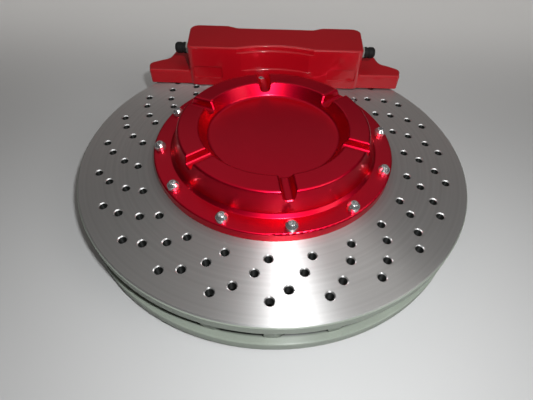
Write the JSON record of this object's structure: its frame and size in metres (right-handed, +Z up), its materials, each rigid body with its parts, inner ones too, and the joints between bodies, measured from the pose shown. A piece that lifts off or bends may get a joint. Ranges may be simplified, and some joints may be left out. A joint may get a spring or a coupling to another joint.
{
  "type": "brake caliper with disc",
  "caption": "Ventilated cross-drilled brake disc with a red dished hat, turning on a low stand under a red multi-piston caliper.",
  "frame": {"origin": "on the disc's axis, in the plane that the stand's feet rest on", "axes": "+Z up along the disc's axis, +Y from the axis towards the caliper, +X to the caliper's right seen from the disc"},
  "size_m": [0.3028, 0.3224, 0.077],
  "materials": {
    "cast_disc": "turned bare faces, grey-green painted sides and vanes",
    "red_anodised": "satin crimson anodised",
    "bright_steel": "polished",
    "zinc_steel": "zinc plated",
    "machined_steel": "turned",
    "black_steel": "black oxide",
    "bronze": "oil-filled sintered bronze",
    "black_plate": "black powder coat",
    "black_rubber": "matte",
    "white_plastic": "natural PTFE",
    "spring_steel": "spring temper",
    "friction_lining": "pressed friction compound",
    "red_paint": "gloss",
    "copper": "annealed",
    "piston_alloy": "hard anodised",
    "cap_rubber": "matte"
  },
  "bodies": {
    "stand": {"base_plate": "black_plate", "feet": "black_rubber", "spindle": "machined_steel", "spindle_screws": "black_steel", "thrust_washers": "white_plastic", "retaining_ring": "spring_steel", "reaction_facing": "friction_lining", "lug_posts": "machined_steel", "post_screws": "black_steel", "caliper_body": "red_paint", "caliper_bridge": "red_paint", "bridge_bolts": "black_steel", "bridge_screws": "black_steel", "piston_seals": "black_rubber", "pad_abutments": "spring_steel", "inlet_plug": "zinc_steel", "plug_washer": "copper"},
    "disc": {"rotor_ring": "cast_disc", "hat": "red_anodised", "hat_screws": "bright_steel", "nut_washers": "zinc_steel", "lock_nuts": "zinc_steel", "hub": "machined_steel", "hub_bolts": "black_steel", "hub_bushes": "bronze"},
    "pad": {"pad_lining": "friction_lining", "pad_backing": "black_steel"},
    "piston_1_body": {"piston_1": "piston_alloy"},
    "piston_2_body": {"piston_2": "piston_alloy"},
    "piston_3_body": {"piston_3": "piston_alloy"},
    "piston_4_body": {"piston_4": "piston_alloy"},
    "bleeder_left": {"bleed_screw_left": "zinc_steel", "dust_cap_left": "cap_rubber"},
    "bleeder_right": {"bleed_screw_right": "zinc_steel", "dust_cap_right": "cap_rubber"}
  },
  "joints": [
    {"name": "disc_spin", "type": "hinge", "parent": "stand", "child": "disc", "pos_m": [0, 0, 0.0215], "axis": [0, 0, 1], "continuous": true},
    {"name": "pad_slide", "type": "slide", "parent": "stand", "child": "pad", "axis": [0, 0, -1], "range_m": [0, 0.0016]},
    {"name": "piston_1_slide", "type": "slide", "parent": "stand", "child": "piston_1_body", "axis": [0, 0, -1], "range_m": [0, 0.0016]},
    {"name": "piston_2_slide", "type": "slide", "parent": "stand", "child": "piston_2_body", "axis": [0, 0, -1], "range_m": [0, 0.0016]},
    {"name": "piston_3_slide", "type": "slide", "parent": "stand", "child": "piston_3_body", "axis": [0, 0, -1], "range_m": [0, 0.0016]},
    {"name": "piston_4_slide", "type": "slide", "parent": "stand", "child": "piston_4_body", "axis": [0, 0, -1], "range_m": [0, 0.0016]},
    {"name": "bleeder_left_turn", "type": "hinge", "parent": "stand", "child": "bleeder_left", "pos_m": [-0.0825, 0.1115, 0.0665], "axis": [-1, 0, 0], "range_deg": [0, 180]},
    {"name": "bleeder_right_turn", "type": "hinge", "parent": "stand", "child": "bleeder_right", "pos_m": [0.0825, 0.1115, 0.0665], "axis": [1, 0, 0], "range_deg": [0, 180]}
  ],
  "couplings": [
    {"joint": "piston_1_slide", "follows": "pad_slide", "ratio": 1},
    {"joint": "piston_2_slide", "follows": "pad_slide", "ratio": 1},
    {"joint": "piston_3_slide", "follows": "pad_slide", "ratio": 1},
    {"joint": "piston_4_slide", "follows": "pad_slide", "ratio": 1}
  ]
}
